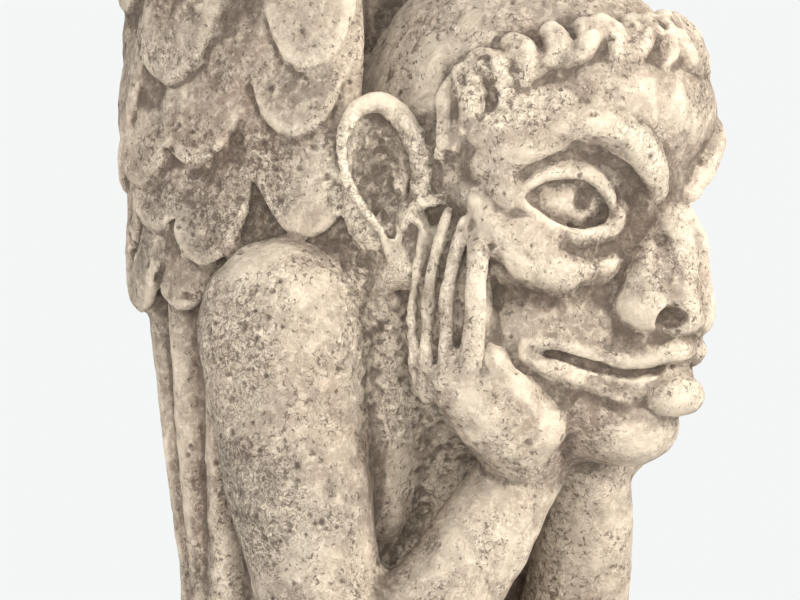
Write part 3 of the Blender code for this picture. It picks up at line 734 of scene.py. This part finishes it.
def hollowness(mesh, rounds):
    """How far each vertex lies under the mean surface around it, in metres, after each round asked."""
    places, edges = places_of(mesh), edges_of(mesh)
    directions = vectors_of(mesh.vertex_normals, "vector")
    count = np.bincount(edges.ravel(), minlength=len(places)).astype(float)
    softened, found = places.copy(), []
    for turn in range(1, max(rounds) + 1):
        softened += 0.5 * (neighbour_mean(softened, edges, count) - softened)
        if turn in rounds:
            found.append(((softened - places) * directions).sum(1))
    return found


def patch(places, spots):
    """1 near each spot and 0 beyond its reach, with a soft edge. A spot is a centre and a reach in PART."""
    mask = np.zeros(len(places))
    for centre, reach in spots:
        away = np.linalg.norm(places - np.asarray(centre), axis=1) / (reach * PART)
        mask = np.maximum(mask, np.clip((1.15 - away) / 0.3, 0, 1))
    return mask


STIPPLED = (
    # Maker, out, front, up, and reach
    (body, 36, -16, 250, 32), (body, 42, -12, 286, 18), (body, 0, -14, 215, 36), (body, 0, -10, 180, 30),
    (head, 56, 0, 6, 19), (head, 47, 30, 34, 12),
)
PITTED = (
    (body, 74, -42, 245, 24), (body, 72, -36, 205, 22), (body, 64, -22, 165, 18), (body, 66, -44, 292, 18),
)


def spots_of(table):
    return [(maker(side, *place), reach) for maker, *place, reach in table for side in SIDES]


def add_attribute(mesh, name, values):
    layer = mesh.attributes.new(name, "FLOAT", "POINT")
    layer.data.foreach_set("value", np.asarray(values, np.float32))


def add_zones(mesh):
    """Where the stone is stippled, where it is pitted, and where hair and feathers are combed."""
    places = places_of(mesh)
    add_attribute(mesh, "stippled", patch(places, spots_of(STIPPLED)))
    add_attribute(mesh, "pitted", patch(places, spots_of(PITTED)))
    skull = patch(places, [(head(1, 0, 0, 36), 52)])
    for limit in (places[:, 1] - head(1, 0, 26, 60).y, places[:, 2] - head(1, 0, 0, 12).z):
        skull *= np.clip(limit / 0.008, 0, 1)
    wings = 0.45 * np.clip((places[:, 1] - body(1, 0, -34, 0).y) / 0.01, 0, 1) * (places[:, 2] > 0.27)
    add_attribute(mesh, "combed", np.maximum(skull, wings * (np.abs(places[:, 0]) > 0.045)))


class Graph:
    """A node tree whose nodes are added with short calls for what repeats."""

    def __init__(self, tree):
        self.tree = tree

    def node(self, kind, inputs=(), **settings):
        made = self.tree.nodes.new(kind)
        for key, value in settings.items():
            setattr(made, key, value)
        for key, value in dict(inputs).items():
            self.feed(made.inputs[key], value)
        return made

    def feed(self, socket, value):
        if isinstance(value, bpy.types.NodeSocket):
            self.tree.links.new(value, socket)
        else:
            socket.default_value = value

    def math(self, operation, first, second=0.0):
        return self.node("ShaderNodeMath", {0: first, 1: second}, operation=operation).outputs[0]

    def total(self, *values):
        result = values[0]
        for value in values[1:]:
            result = self.math("ADD", result, value)
        return result

    def ramp(self, value, low, high, to_low=0.0, to_high=1.0):
        given = {"Value": value, "From Min": low, "From Max": high, "To Min": to_low, "To Max": to_high}
        return self.node("ShaderNodeMapRange", given, interpolation_type="SMOOTHSTEP").outputs[0]

    def noise(self, place, scale, detail=2.0, roughness=0.5, distortion=0.0):
        given = {"Vector": place, "Scale": scale, "Detail": detail}
        given |= {"Roughness": roughness, "Distortion": distortion}
        return self.node("ShaderNodeTexNoise", given).outputs["Fac"]


WEATHER = {
    # Sizes in metres, depths in metres, pits per square metre
    "Pit radius": 0.00085, "Pit depth": 0.0007, "Pits": 2000.0, "Pits in pitted zones": 32000.0,
    "Stipple size": 0.0023, "Stipple depth": 0.0007, "Lump size": 0.011, "Lump depth": 0.0005,
    "Chip size": 0.0045, "Chip depth": 0.00035, "Comb size": 0.0022, "Comb depth": 0.0008,
}
COMB_STRETCH = (1, 0.4, 0.16)
PIT_SEED = 5
PIT_SPREAD = {"least": 0.35, "most": 1.2, "seed": 2}


def make_weather_tree():
    """Nodes that move a skin along its normals: lumps, stipple, combed lines and scattered pits."""
    tree = bpy.data.node_groups.new("weather the stone", "GeometryNodeTree")
    face = tree.interface
    face.new_socket("Skin", in_out="INPUT", socket_type="NodeSocketGeometry")
    for name, value in WEATHER.items():
        face.new_socket(name, in_out="INPUT", socket_type="NodeSocketFloat").default_value = value
    face.new_socket("Seed", in_out="INPUT", socket_type="NodeSocketInt").default_value = PIT_SEED
    face.new_socket("Stone", in_out="INPUT", socket_type="NodeSocketMaterial")
    face.new_socket("Skin", in_out="OUTPUT", socket_type="NodeSocketGeometry")
    graph = Graph(tree)
    given = graph.node("NodeGroupInput").outputs
    place = graph.node("GeometryNodeInputPosition").outputs[0]
    height = graph.node("ShaderNodeSeparateXYZ", {0: place}).outputs["Z"]

    def zone(name):
        node = graph.node("GeometryNodeInputNamedAttribute", {"Name": name}, data_type="FLOAT")
        return node.outputs["Attribute"]

    def relief(size, depth, share=1.0, stretch=(1, 1, 1), detail=2.0):
        """Noise from about -1 to 1, times its depth and its share."""
        stretched = graph.node("ShaderNodeVectorMath", {0: place, 1: stretch}, operation="MULTIPLY")
        noise = graph.noise(stretched.outputs[0], graph.math("DIVIDE", 1.0, given[size]), detail)
        swing = graph.ramp(noise, 0.25, 0.75, -0.5, 0.5)
        return graph.math("MULTIPLY", swing, graph.math("MULTIPLY", given[depth], share))

    extra = graph.math("MULTIPLY", zone("pitted"), given["Pits in pitted zones"])
    density = graph.total(given["Pits"], extra)
    wanted = {"Mesh": given["Skin"], "Density": density, "Seed": given["Seed"]}
    scatter = graph.node("GeometryNodeDistributePointsOnFaces", wanted).outputs["Points"]
    nearest = graph.node("GeometryNodeSampleNearest", {"Geometry": scatter}).outputs["Index"]
    limits = {2: PIT_SPREAD["least"], 3: PIT_SPREAD["most"], "Seed": PIT_SPREAD["seed"]}
    spread = graph.node("FunctionNodeRandomValue", limits, data_type="FLOAT").outputs[1]
    centre = graph.node("GeometryNodeSampleIndex", data_type="FLOAT_VECTOR")
    share = graph.node("GeometryNodeSampleIndex", data_type="FLOAT")
    for sample, value in ((centre, place), (share, spread)):
        graph.feed(sample.inputs["Geometry"], scatter)
        graph.feed(sample.inputs["Value"], value)
        graph.feed(sample.inputs["Index"], nearest)
    away = graph.node("ShaderNodeVectorMath", {0: place, 1: centre.outputs[0]}, operation="DISTANCE")
    radius = graph.math("MULTIPLY", given["Pit radius"], share.outputs[0])
    pit = graph.ramp(graph.math("DIVIDE", away.outputs["Value"], radius), 0.45, 1.35, 1.0, 0.0)

    moved = graph.total(
        relief("Lump size", "Lump depth"),
        relief("Chip size", "Chip depth", detail=3.0),
        relief("Stipple size", "Stipple depth", zone("stippled"), detail=1.0),
        relief("Comb size", "Comb depth", zone("combed"), COMB_STRETCH, 1.0),
        graph.math("MULTIPLY", graph.math("MULTIPLY", pit, given["Pit depth"]), -1.0),
    )
    moved = graph.math("MULTIPLY", moved, graph.ramp(height, 0.003, 0.01))
    normal = graph.node("GeometryNodeInputNormal").outputs[0]
    offset = graph.node("ShaderNodeVectorMath", {0: normal, "Scale": moved}, operation="SCALE").outputs[0]
    marked = graph.node(
        "GeometryNodeStoreNamedAttribute", {"Geometry": given["Skin"], "Name": "pit", "Value": pit},
        data_type="FLOAT", domain="POINT",
    ).outputs[0]
    carved = graph.node("GeometryNodeSetPosition", {"Geometry": marked, "Offset": offset}).outputs[0]
    plain = graph.node("GeometryNodeRealizeInstances", {0: carved}).outputs[0]
    stone = graph.node("GeometryNodeSetMaterial", {"Geometry": plain, "Material": given["Stone"]}).outputs[0]
    graph.node("NodeGroupOutput", {"Skin": stone})
    return tree


def weathered(mesh, stone):
    """The skin after the weather tree."""
    obj = placed("skin", mesh)
    modifier = obj.modifiers.new("Weather", "NODES")
    modifier.node_group = make_weather_tree()
    for socket in modifier.node_group.interface.items_tree:
        if socket.in_out == "INPUT" and socket.name == "Stone":
            modifier[socket.identifier] = stone
        elif socket.in_out == "INPUT" and socket.name in WEATHER:
            modifier[socket.identifier] = WEATHER[socket.name]
    return as_mesh(obj)


def thinned(mesh, triangles):
    obj = placed("skin", mesh)
    mesh.calc_loop_triangles()
    thin = obj.modifiers.new("Thin", "DECIMATE")
    thin.ratio = triangles / len(mesh.loop_triangles)
    thin.use_collapse_triangulate = True
    return as_mesh(obj)


def sawn(mesh):
    """The underside cut flat at the ground."""
    cut = bmesh.new()
    cut.from_mesh(mesh)
    everything = cut.verts[:] + cut.edges[:] + cut.faces[:]
    result = bmesh.ops.bisect_plane(
        cut, geom=everything, plane_co=(0, 0, 0), plane_no=(0, 0, -1), clear_outer=True
    )
    rim = [item for item in result["geom_cut"] if isinstance(item, bmesh.types.BMEdge)]
    bmesh.ops.contextual_create(cut, geom=rim)
    bmesh.ops.triangulate(cut, faces=[face for face in cut.faces if len(face.verts) > 3])
    bmesh.ops.recalc_face_normals(cut, faces=cut.faces[:])
    cut.to_mesh(mesh)
    cut.free()


# How the open sky is found: the copy's faces, the rays and their reach, and the start off the stone
COARSE_FACES = 24000
SKY_RAYS = 40
SKY_REACH = 0.09
SKY_START = 0.0012
SKY_LEAST_LEAN = 0.05
SKY_NEIGHBOURS = 3
SKY_SEED = 3


def spread_directions():
    """Directions all round, none of them favoured."""
    chance = random.Random(SKY_SEED)
    spread = []
    while len(spread) < SKY_RAYS:
        way = Vector((chance.uniform(-1, 1), chance.uniform(-1, 1), chance.uniform(-1, 1)))
        if 0.1 < way.length < 1:
            spread.append(way.normalized())
    return spread


def open_sky(mesh):
    """For each vertex the share of directions that leave the stone, found on a coarse copy."""
    obj = placed("coarse", mesh.copy())
    thin = obj.modifiers.new("Thin", "DECIMATE")
    thin.ratio = COARSE_FACES / len(mesh.polygons)
    coarse = as_mesh(obj)
    shape = bmesh.new()
    shape.from_mesh(coarse)
    tree = BVHTree.FromBMesh(shape)
    shape.free()
    spread = spread_directions()
    seen = []
    finder = KDTree(len(coarse.vertices))
    for vert in coarse.vertices:
        start = vert.co + vert.normal * SKY_START
        free = total = 0.0
        for way in spread:
            lean = way.dot(vert.normal)
            if lean <= SKY_LEAST_LEAN:
                continue
            total += lean
            if tree.ray_cast(start, way, SKY_REACH)[0] is None:
                free += lean
        seen.append(free / total if total else 1.0)
        finder.insert(vert.co, vert.index)
    finder.balance()
    values = np.empty(len(mesh.vertices))
    for vert in mesh.vertices:
        near = finder.find_n(vert.co, SKY_NEIGHBOURS)
        weights = [1 / (distance + 1e-5) for _, _, distance in near]
        values[vert.index] = sum(w * seen[i] for w, (_, i, _) in zip(weights, near)) / sum(weights)
    bpy.data.meshes.remove(coarse)
    return values


def carried_over(places, values, target):
    """Values of the dense skin at the nearest vertices of the thinned one."""
    finder = KDTree(len(places))
    for index, place in enumerate(places):
        finder.insert(place, index)
    finder.balance()
    return values[[finder.find(vert.co)[1] for vert in target.vertices]]


# How many rounds of smoothing show a hollow of each kind, and its depth in metres that counts as 1
RECESS = (5, 0.0003)
VALLEY = (14, 0.0010)
BOWL = (70, 0.0030)


def make_gargoyle():
    stone = make_weathered_stone()
    skin = carve_figure()
    add_zones(skin)
    dense = weathered(skin, stone)
    places, recess = places_of(dense), hollowness(dense, RECESS[:1])[0]
    fine = thinned(dense, SKIN_TRIANGLES)
    sawn(fine)
    recess = carried_over(places, recess, fine)
    valley, bowl = hollowness(fine, (VALLEY[0], BOWL[0]))
    add_attribute(fine, "recess", recess / RECESS[1])
    add_attribute(fine, "valley", valley / VALLEY[1])
    add_attribute(fine, "bowl", bowl / BOWL[1])
    add_attribute(fine, "open_sky", open_sky(fine))
    fine.shade_smooth()
    gargoyle = placed("weathered_gargoyle", fine)
    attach(gargoyle, "root")
    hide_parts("gargoyle")


# Finishes

STONE = (0.22, 0.171, 0.133, 1)
# Pale stone tone, also used as the painted highlight on crests, swellings and domes
PALE_STONE_AND_HIGHLIGHT = (0.75, 0.645, 0.512, 1)
WARM_STONE = (0.24, 0.169, 0.129, 1)
GREY_STONE = (0.178, 0.149, 0.121, 1)
BROWN_STONE = (0.135, 0.101, 0.077, 1)
# Dark colour for real dirt, specks and pits, and for painted shade in hollows and occluded places
DIRT_AND_SHADE = (0.095, 0.070, 0.053, 1)


class Finish(Graph):
    """The nodes of one material, whose textures read the object's own coordinates."""

    def __init__(self, name):
        self.material = bpy.data.materials.new(name)
        self.material.use_nodes = True
        super().__init__(self.material.node_tree)
        self.shader = self.tree.nodes["Principled BSDF"]
        self.place = self.node("ShaderNodeTexCoord").outputs["Object"]

    def attribute(self, name):
        return self.node("ShaderNodeAttribute", attribute_name=name).outputs["Fac"]

    def grain(self, scale, detail=2.0, roughness=0.5, distortion=0.0):
        return self.noise(self.place, scale, detail, roughness, distortion)

    def blend(self, share, first, second):
        """A mix of two colours, which are sockets 6 and 7 of the node, and the share is socket 0."""
        return self.node("ShaderNodeMix", {0: share, 6: first, 7: second}, data_type="RGBA").outputs[2]

    def times(self, *values):
        result = values[0]
        for value in values[1:]:
            result = self.math("MULTIPLY", result, value)
        return result

    def highest(self, *values):
        result = values[0]
        for value in values[1:]:
            result = self.math("MAXIMUM", result, value)
        return result


def make_weathered_stone():
    stone = Finish("weathered cast stone")
    recess, valley, bowl, sky, stippled, pitted, combed, pit = (
        stone.attribute(name)
        for name in ("recess", "valley", "bowl", "open_sky", "stippled", "pitted", "combed", "pit")
    )

    # Colour of the stone itself, in broad drifts and fine mottling
    colour = stone.blend(stone.ramp(stone.grain(26, 3), 0.38, 0.68), STONE, WARM_STONE)
    colour = stone.blend(stone.ramp(stone.grain(19, 4, 0.6, 0.4), 0.42, 0.70), colour, GREY_STONE)
    mottle = stone.ramp(stone.grain(420, 5, 0.7, 0.6), 0.40, 0.66)
    colour = stone.blend(stone.times(mottle, 0.45), colour, PALE_STONE_AND_HIGHLIGHT)
    pale_zone = stone.highest(stone.times(stippled, 0.5), stone.times(stone.ramp(combed, 0.5, 1.0), 0.36))
    colour = stone.blend(pale_zone, colour, PALE_STONE_AND_HIGHLIGHT)
    stain = stone.ramp(stone.grain(135, 5, 0.74, 0.9), 0.47, 0.62)
    colour = stone.blend(stone.times(stain, 0.5), colour, BROWN_STONE)
    cloud = stone.ramp(stone.grain(33, 3, 0.6, 0.3), 0.42, 0.62)
    colour = stone.blend(stone.times(cloud, 0.26), colour, PALE_STONE_AND_HIGHLIGHT)

    # Crests, swellings and domes are painted pale, partly as wear and partly as painted highlight, more
    # where open sky reaches
    crest = stone.ramp(recess, -0.10, -0.85)
    swell = stone.ramp(valley, -0.30, -1.15)
    dome = stone.ramp(bowl, 0.1, -0.9)
    wear_and_highlight = stone.highest(stone.times(crest, 0.8), stone.times(swell, 0.62), stone.times(dome, 0.15))
    uneven = stone.ramp(stone.grain(95, 4, 0.65), 0.28, 0.56, 0.4, 1.0)
    plumage = stone.ramp(combed, 0.1, 0.4, 1.0, 0.7)
    wear_and_highlight = stone.times(wear_and_highlight, stone.ramp(sky, 0.15, 0.65), uneven, plumage)
    colour = stone.blend(wear_and_highlight, colour, PALE_STONE_AND_HIGHLIGHT)

    # Fine strokes and specks of dirt, most on the stippled stone
    drift = stone.ramp(stone.grain(60, 3, 0.6), 0.36, 0.66)
    veins = stone.math("ABSOLUTE", stone.math("SUBTRACT", stone.grain(330, 3, 0.6, 1.6), 0.5))
    strokes = stone.ramp(veins, 0.045, 0.008)
    strokes = stone.times(
        strokes, stone.highest(stone.times(drift, 0.7), stone.times(stippled, 0.8), pitted),
    )
    fleck = stone.grain(640, 4, 0.7, 0.5)
    level = stone.total(
        0.62, stone.times(drift, -0.09), stone.times(stippled, -0.02), stone.times(pitted, -0.04),
        stone.times(wear_and_highlight, 0.06),
    )
    specks = stone.ramp(fleck, level, stone.math("ADD", level, 0.06))

    # Dirt in pits and fine recesses, dirt and painted shade in grooves and between locks and feathers, and
    # painted shade in broad hollows and where little open sky reaches
    grime_and_shade = stone.total(
        stone.ramp(recess, 0.08, 0.9), stone.times(stone.ramp(valley, 0.05, 0.55), 0.95),
        stone.times(stone.ramp(bowl, 0.15, 1.1), 0.08),
    )
    between = stone.times(stone.ramp(valley, 0.02, 0.3), stone.ramp(combed, 0.1, 0.4), 0.4)
    # Painted shade where little open sky reaches the stone
    occlusion_shade = stone.ramp(sky, 0.60, 0.12)
    patchy = stone.ramp(stone.grain(210, 5, 0.72, 0.5), 0.30, 0.60, 0.30, 1.0)
    grime_and_shade = stone.total(grime_and_shade, between, stone.times(occlusion_shade, 0.15))
    grime_and_shade = stone.times(stone.math("MINIMUM", grime_and_shade, 1.0), patchy)
    # Darkening towards the dirt colour: real dirt, specks, strokes and pits, with painted shade in hollows
    dark = stone.highest(
        stone.times(grime_and_shade, 0.85), stone.times(specks, 0.75), stone.times(strokes, 0.5),
        stone.times(pit, 0.8),
    )
    colour = stone.blend(dark, colour, DIRT_AND_SHADE)
    stone.feed(stone.shader.inputs["Base Color"], colour)
    stone.feed(stone.shader.inputs["Roughness"], stone.ramp(wear_and_highlight, 0.0, 1.0, 0.95, 0.75))
    stone.shader.inputs["Specular IOR Level"].default_value = 0.25

    height = stone.total(
        stone.times(stone.grain(1150, 3, 0.7), 0.35), stone.times(fleck, 0.5),
        stone.times(mottle, 0.25), stone.times(stain, -0.25),
        stone.times(specks, -0.5), stone.times(strokes, -0.45), stone.times(pit, -0.6),
    )
    bump = stone.node("ShaderNodeBump", {"Strength": 0.75, "Distance": 0.0007, "Height": height})
    stone.feed(stone.shader.inputs["Normal"], bump.outputs[0])
    return stone.material


FLOOR_RADIUS = 1.1
FLOOR_TONES = ((0.58, 0.59, 0.595, 1), (0.63, 0.64, 0.64, 1))
LIGHT_HEIGHT = 0.26
LIGHT_DISTANCE = 1.3
LIGHTS = (
    # Name, azimuth and elevation in degrees, size in metres, power in watts, and colour
    ("key", 15, 28, 0.6, 18, (1.0, 0.95, 0.88)),
    ("rim", -135, 20, 0.5, 2.8, (1.0, 0.95, 0.88)),
    ("fill", -56, 0, 1.1, 16, (1.0, 0.97, 0.93)),
)


def make_floor():
    mesh = bpy.data.meshes.new("floor")
    disc = bmesh.new()
    bmesh.ops.create_circle(disc, cap_ends=True, segments=96, radius=FLOOR_RADIUS)
    disc.to_mesh(mesh)
    disc.free()
    floor = placed("floor", mesh)
    pale = Finish("pale floor")
    tone = pale.blend(pale.ramp(pale.grain(9), 0.3, 0.7), *FLOOR_TONES)
    pale.feed(pale.shader.inputs["Base Color"], tone)
    pale.shader.inputs["Roughness"].default_value = 0.7
    mesh.materials.append(pale.material)


def direction(azimuth, elevation):
    turn, rise = math.radians(azimuth), math.radians(elevation)
    return Vector((math.sin(turn) * math.cos(rise), -math.cos(turn) * math.cos(rise), math.sin(rise)))


def point_back(obj, place, way):
    """Puts a lamp or camera at the place, with its back to the direction given."""
    obj.location = place
    obj.rotation_mode = "QUATERNION"
    obj.rotation_quaternion = way.to_track_quat("Z", "Y")


def add_light(name, azimuth, elevation, size, power, colour):
    lamp = bpy.data.lights.new(name, "AREA")
    lamp.size = size
    lamp.energy = power
    lamp.color = colour
    way = direction(azimuth, elevation)
    point_back(placed(name, lamp), Vector((0, 0, LIGHT_HEIGHT)) + way * LIGHT_DISTANCE, way)


def light_studio():
    world = bpy.data.worlds.new("studio")
    bpy.context.scene.world = world
    world.use_nodes = True
    sky = world.node_tree.nodes["Background"]
    sky.inputs["Color"].default_value = (0.91, 0.925, 0.925, 1)
    sky.inputs["Strength"].default_value = 1.0
    for light in LIGHTS:
        add_light(*light)
    bpy.context.scene.view_settings.view_transform = "Standard"


def place_camera():
    lens = bpy.data.cameras.new("photo")
    lens.sensor_width = SENSOR_WIDTH
    lens.lens = SENSOR_WIDTH * CAMERA_DISTANCE / (PHOTO_WIDTH / PHOTO_SCALE)
    lens.clip_start = 0.05
    camera = placed("photo", lens)
    back = direction(math.degrees(CAMERA_TURN), 0)
    right = Vector((math.cos(CAMERA_TURN), math.sin(CAMERA_TURN), 0))
    offset = [(place - middle) / PHOTO_SCALE for place, middle in zip(HEAD_IN_PHOTO, PHOTO_MIDDLE)]
    aim = body(1, 0, 0, HEAD_UP) - right * offset[0] + Vector((0, 0, offset[1]))
    point_back(camera, aim + back * CAMERA_DISTANCE, back)
    bpy.context.scene.camera = camera


def main():
    make_gargoyle()
    make_floor()
    light_studio()
    place_camera()


main()
